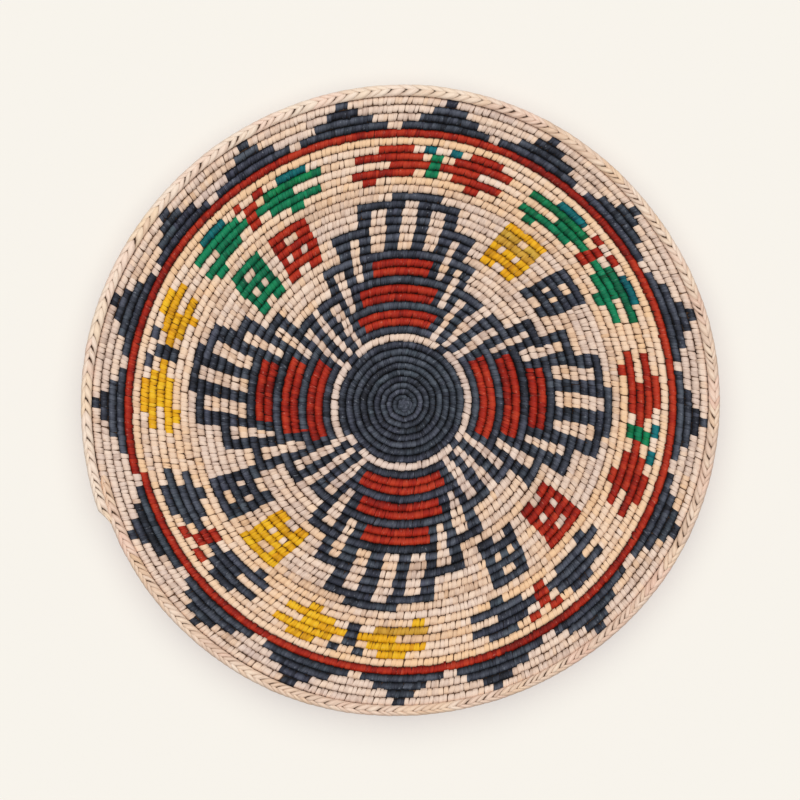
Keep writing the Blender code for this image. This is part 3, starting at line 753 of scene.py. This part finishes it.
def lay_rim_strips(name, outwards, over_crest, slit, tilt):
    """One side of the braid: strips from the back over one edge and on across the face.

    Outwards is 1 for the side away from the plate's middle and -1 for the side towards it,
    and over_crest is how many degrees past the crest a strip goes before it dives. Slit is how
    far its strips draw apart at the crest, and tilt lifts one edge of each over the next.
    """
    start, end = np.interp((RIM_FROM - 0.005, RIM_TO - 0.002), TURNS, LENGTHS)
    count = round((end - start) / RIM_STRIP_WIDTH)
    # Both sides are woven from the same strips, so their widths agree. The last are wider.
    widths = np.random.default_rng(8).uniform(0.65, 1.35, count)
    widths *= 1.0 + 0.22 * ramp(np.arange(count) / count, 0.60, 0.72)
    widths *= (end - start) / widths.sum()
    chance = np.random.default_rng(31 + outwards)
    shake = chance.normal(0.0, 1.0, (3, count))
    row = row_of(rim_strip(), count)
    x, run, thick = points_of(row)
    strip = np.rint(x / 2).astype(int)
    side = x - 2 * strip
    middle = np.interp(start + (np.cumsum(widths) - widths / 2)[strip], LENGTHS, TURNS)
    # From behind the plate round the edge, and past the crest on the face.
    bend = STRIP_START + (over_crest - STRIP_START) * run
    sideways, upward = np.sin(np.radians(bend)), np.cos(np.radians(bend))
    reach = np.where(bend < -90.0, -1.0 - (1.0 + sideways), sideways)
    along = -1.45 * reach * (coil_pitch(middle) / 2 + RIM_SWELL)
    # Some strips stand apart in a short slit where the other side's strips dive between them.
    gaps = chance.uniform(0.0, 1.0, count + 1) ** 1.4
    gap = gaps[strip + (side > 0)]
    opened = slit * gap * hump(bend, -12.0, 18.0)
    wide = 1.16 + 0.30 * ramp(-bend, 50.0, 90.0) - 0.36 * opened - 0.4 * ramp(run, 0.94, 1.0)
    along += side * widths[strip] * wide
    turn = np.minimum(middle + along / (2 * pi * coil_radius(middle)), RIM_TO)
    growth = rim_growth(turn)
    # The end rides on the start of the rim, and thins out against it.
    riding = ramp(turn, 39.91, 39.97)
    thin = ramp(turn, RIM_TO - 0.010, RIM_TO)
    clock = (SEAM_CLOCK - 360.0 * middle) % 360.0
    # It was pulled in harder at two places.
    inwards = 0.0011 * hump(clock, 163.0, 26.0) + 0.0004 * hump(clock, 50.0, 20.0)
    full = coil_pitch(middle) / 2 + RIM_SWELL * growth - 0.4 * inwards - 0.00025 * riding
    half = full * (1.0 - 0.75 * thin)
    tall = half_height(middle) * (1.0 + RIM_EXTRA * growth) * (1.0 - 0.55 * thin)
    depth = thick * 0.0008 - 0.0003 * ramp(run, 0.88, 1.0) - 0.00010 * (2 * side) ** 2
    depth += tilt * side - 0.00035 + 0.00005 * shake[0][strip]
    # Its section is flatter on top and steeper at its sides than a plain oval.
    over = np.sign(sideways) * np.abs(sideways) ** 0.75
    above = np.sign(upward) * np.abs(upward) ** 0.75
    across = outwards * -over * (half + depth + 0.0003 * (outwards < 0))
    across += RIM_SWELL * growth + 0.0001 - inwards + 0.00005 * riding - (full - half)
    up = above * (tall + depth) + half_height(middle) * RIM_EXTRA * growth
    places = on_coil(turn, across, up)
    leaves = np.random.default_rng(5).normal(0.0, 1.0, (2, 400))
    # The lighter leaf was used up over the last quarter.
    paler = 0.55 * ramp(middle, RIM_FROM + 0.62, RIM_FROM + 0.75)
    tone = np.clip(0.54 + paler + 0.13 * leaves[0][strip // 2] + 0.11 * shake[1][strip], 0, 1)
    warm = np.clip(0.48 + 0.14 * leaves[1][strip // 3] + 0.05 * shake[2][strip], 0, 1)
    # Painted shade: each strip's edges are darkened, most at the slits, and so is the part of each
    # strip that turns round the edge towards the back.
    seam_shade = ramp(np.abs(side), 0.25, 0.50) * (0.10 + 0.15 * slit + (0.25 + 0.30 * slit) * gap)
    seam_shade = np.maximum(seam_shade, 0.35 * ramp(-bend, 60.0, 95.0))
    strip_mm = np.stack((side * 4.0, run * 14.0, strip * 5.7), axis=-1)
    # A mirrored side of the braid would be inside out.
    if outwards < 0:
        row.flip_normals()
    piece = finished(name, row, places, rim_leaf, tone=tone, warmth=warm, crevice=seam_shade,
                     strip_mm=strip_mm)
    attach(piece, "plate")
    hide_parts("rim_braid")


lay_rim_strips("rim_outer_strips", 1, over_crest=-3.0, slit=0.0, tilt=0.00006)
lay_rim_strips("rim_inner_strips", -1, over_crest=13.0, slit=1.0, tilt=0.00018)

# Hanging loop
# A stirrup of stiff cord, wrapped tightly with fibre, lies against the back near the top.
# It swings on its straight bar, and a nail in the wall carries its round end.

# The middle of its bar is on the hinge's axis, and it leans with the slope of the dish.
LOOP_AXIS = Vector((0.0, -0.005459, 0.141233))
LOOP_LEAN = radians(11.617)
CORD_THICKNESS = 0.0024
# Twisted plant fibre, tan and dull, with single fibres about 0.3 mm wide that catch light.
fibre_cord, shader = new_material("wrapped_fibre_cord")
wrap_place = add(fibre_cord, "ShaderNodeAttribute", {"attribute_name": "wrap_mm"}).outputs["Vector"]
threads = add(fibre_cord, "ShaderNodeMapping", Vector=wrap_place, Scale=(3.0, 0.5, 1.0))
threads = add(fibre_cord, "ShaderNodeTexNoise", Vector=threads.outputs[0], Scale=1.0, Detail=3.0)
tans = add(fibre_cord, "ShaderNodeValToRGB", Fac=threads.outputs["Fac"])
colour = colours_along(tans, [(0.30, "#7A5A38"), (0.50, "#AE8A60"), (0.72, "#D2B288")])
hairs = add(fibre_cord, "ShaderNodeBump", Height=threads.outputs["Fac"], Distance=0.0001)
fibre_cord.node_tree.links.new(colour, shader.inputs["Base Color"])
fibre_cord.node_tree.links.new(hairs.outputs[0], shader.inputs["Normal"])
shader.inputs["Roughness"].default_value = 0.75


def lay_cord(name, node, body, path, flat_normal, thickness, wraps):
    """Lay a tightly wrapped cord along a flat path, one ridge for each turn of its wrap."""
    furrow = 0.86
    wrap = bmesh.new()
    bmesh.ops.create_circle(wrap, segments=10, radius=furrow, matrix=Matrix.Rotation(pi / 2, 4, "Y"))
    edges = wrap.edges[:]
    for size in (1 / furrow, 1.0, furrow):
        edges, verts = grow(wrap, edges, (2.0 / 3.0, 0.0, 0.0))
        bmesh.ops.scale(wrap, verts=verts, vec=(1.0, size, size))
    row = row_of(wrap, wraps, joined=True)
    x, y, z = points_of(row)
    steps = np.linalg.norm(np.diff(path, axis=0), axis=1)
    distance = np.concatenate(([0.0], np.cumsum(steps)))
    # The ridges lean a little, as a wrap's turns do.
    at = np.clip((x + 0.35 * y) / (2.0 * wraps), 0.0, 1.0) * distance[-1]

    def on_path(far):
        return np.stack([np.interp(far, distance, path[:, axis]) for axis in range(3)], axis=-1)

    nearby = 0.0004
    ahead = on_path(at + nearby) - on_path(at - nearby)
    ahead /= np.linalg.norm(ahead, axis=1)[:, None]
    normal = np.array(flat_normal)
    beside = np.cross(ahead, normal)
    places = on_path(at) + (beside * y[:, None] + normal * z[:, None]) * thickness / 2
    wrap_mm = np.stack((at * 1000, np.degrees(np.arctan2(z, y)) * 0.02, y), axis=-1)
    piece = finished(name, row, places, fibre_cord, wrap_mm=wrap_mm)
    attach(piece, body)
    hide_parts(node)


def bow(centre, radius, first, last, count):
    """Points along an arc in a flat drawing."""
    angles = np.radians(np.linspace(first, last, count))
    return [(centre[0] + radius * cos(a), centre[1] + radius * sin(a)) for a in angles]


# The bar, its round corners, the straight sides and the round top, drawn flat from the bar.
BAR_REACH, CORNER, TOP_HEIGHT, TOP_RADIUS = 0.006, 0.004, 0.016, 0.010
outline = [(0.0, 0.0)] + bow((BAR_REACH, CORNER), CORNER, -90, 0, 7)
outline += bow((0.0, TOP_HEIGHT), TOP_RADIUS, 0, 180, 19)
outline += bow((-BAR_REACH, CORNER), CORNER, 180, 270, 7) + [(0.0, 0.0)]
path = np.array([LOOP_AXIS + Vector((x, -v * sin(LOOP_LEAN), v * cos(LOOP_LEAN))) for x, v in outline])
lay_cord("hanging_loop_cord", "hanging_loop", "hanger", path,
         (0.0, -cos(LOOP_LEAN), -sin(LOOP_LEAN)), CORD_THICKNESS, wraps=72)

# Loop stitches
# Two short lengths of the same cord, split thinner, go over the loop's bar, one on each side
# of its middle, and down into the coil, so the loop swings under them.
STITCH_THICKNESS, STITCH_REACH, ARCH_RADIUS = 0.0014, 0.005, 0.0023
# How deep the lower and the upper end go along Y, into the sloping coil.
LOWER_END, UPPER_END = -0.0066, -0.0074
for side, across in (("left", -STITCH_REACH), ("right", STITCH_REACH)):
    arch = bow((0.0, 0.0), ARCH_RADIUS, 180, 360, 9)
    arch = [(-ARCH_RADIUS, 0.0)] + arch + [(ARCH_RADIUS, 0.0)]
    path = np.array([LOOP_AXIS + Vector((across, -height, up)) for up, height in arch])
    path[0, 1], path[-1, 1] = LOWER_END, UPPER_END
    lay_cord(f"loop_stitch_{side}_cord", f"loop_stitch_{side}", "plate", path,
             (1.0, 0.0, 0.0), STITCH_THICKNESS, wraps=11)

# Wall and studio
# A plain pale wall behind the plate and a pale floor below, lit softly from above in front.
# They are open from behind, and only the camera meets them, so that the plate's back can be
# seen and is lit as its face is.

# Plaster with matt paint: warm white, with no gloss at all.
plaster, shader = new_material("pale_matt_plaster")
shader.inputs["Base Color"].default_value = linear("#F7F3DD")
shader.inputs["Roughness"].default_value = 1.0
shader.inputs["Specular IOR Level"].default_value = 0.0
facing = add(plaster, "ShaderNodeNewGeometry").outputs["Backfacing"]
seen = add(plaster, "ShaderNodeLightPath").outputs["Is Camera Ray"]
unseen = add(plaster, "ShaderNodeMath", {"operation": "SUBTRACT"}, _0=1.0, _1=seen)
open_to = add(plaster, "ShaderNodeMath", {"operation": "MAXIMUM"}, _0=facing, _1=unseen.outputs[0])
nothing = add(plaster, "ShaderNodeBsdfTransparent")
# The lamps give about half of its light. The studio's stray light fills the rest of the shade.
LAMPS_SHARE = 0.54
filled = add(plaster, "ShaderNodeEmission", Color=linear("#F8F4FB"), Strength=1.0)
wall_light = add(plaster, "ShaderNodeMixShader",
                 _0=LAMPS_SHARE, _1=filled.outputs[0], _2=shader.outputs[0])
through = add(plaster, "ShaderNodeMixShader", _0=open_to.outputs[0], _1=wall_light.outputs[0],
              _2=nothing.outputs[0])
plaster.node_tree.links.new(through.outputs[0], plaster.node_tree.nodes["Material Output"].inputs[0])

# Both are 3 m across, and the wall stands just clear of the plate's back.
HALF_WALL, WALL_CLEAR = 1.5, 0.0012
for name, turned, place in (("wall", radians(90), (0.0, WALL_CLEAR, 0.3)),
                            ("floor", 0.0, (0.0, -1.5, -1.2))):
    shape = bmesh.new()
    bmesh.ops.create_grid(shape, x_segments=1, y_segments=1, size=HALF_WALL)
    bmesh.ops.rotate(shape, verts=shape.verts, matrix=Matrix.Rotation(turned, 3, "X"))
    bmesh.ops.translate(shape, verts=shape.verts, vec=place)
    mesh = mesh_of(name, shape)
    mesh.materials.append(plaster)
    backdrop = put_in_scene(name, mesh)

# Pale light comes from all round, with a broad soft lamp in front of the plate and one
# behind it. Together they show a colour about as it is written.
AROUND_STRENGTH, SOFTBOX_STRENGTH = 0.36, 2.10
world = bpy.data.worlds.new("studio")
bpy.context.scene.world = world
world.use_nodes = True
around = world.node_tree.nodes["Background"]
around.inputs["Color"].default_value = linear("#FFFFFF")
around.inputs["Strength"].default_value = AROUND_STRENGTH
backdrop = add(world, "ShaderNodeBackground", Color=linear("#F8F4EC"), Strength=1.0)
seen = add(world, "ShaderNodeLightPath").outputs["Is Camera Ray"]
both = add(world, "ShaderNodeMixShader", _0=seen, _1=around.outputs[0], _2=backdrop.outputs[0])
world.node_tree.links.new(both.outputs[0], world.node_tree.nodes["World Output"].inputs[0])

for name, towards in (("front_softbox", (0.0, -1.0, 0.25)), ("rear_softbox", (0.0, 1.0, 0.25))):
    sun = bpy.data.lights.new(name, "SUN")
    sun.energy = SOFTBOX_STRENGTH
    sun.angle = radians(80)
    softbox = put_in_scene(name, sun)
    softbox.rotation_euler = Vector(towards).to_track_quat("Z", "Y").to_euler()

# A long lens, square on to the plate from 10 m away. Its picture is 454 mm wide at the face.
FACE_DISTANCE, PICTURE_WIDTH = 9.986, 0.4544
camera = bpy.data.cameras.new("camera")
camera.sensor_width = 36.0
camera.lens = camera.sensor_width * FACE_DISTANCE / PICTURE_WIDTH
camera.clip_end = 100.0
viewer = put_in_scene("camera", camera)
viewer.location = (-0.00184, -10.0, 0.00138)
viewer.rotation_euler = (radians(90), 0.0, 0.0)
bpy.context.scene.camera = viewer
bpy.context.scene.view_settings.view_transform = "Standard"
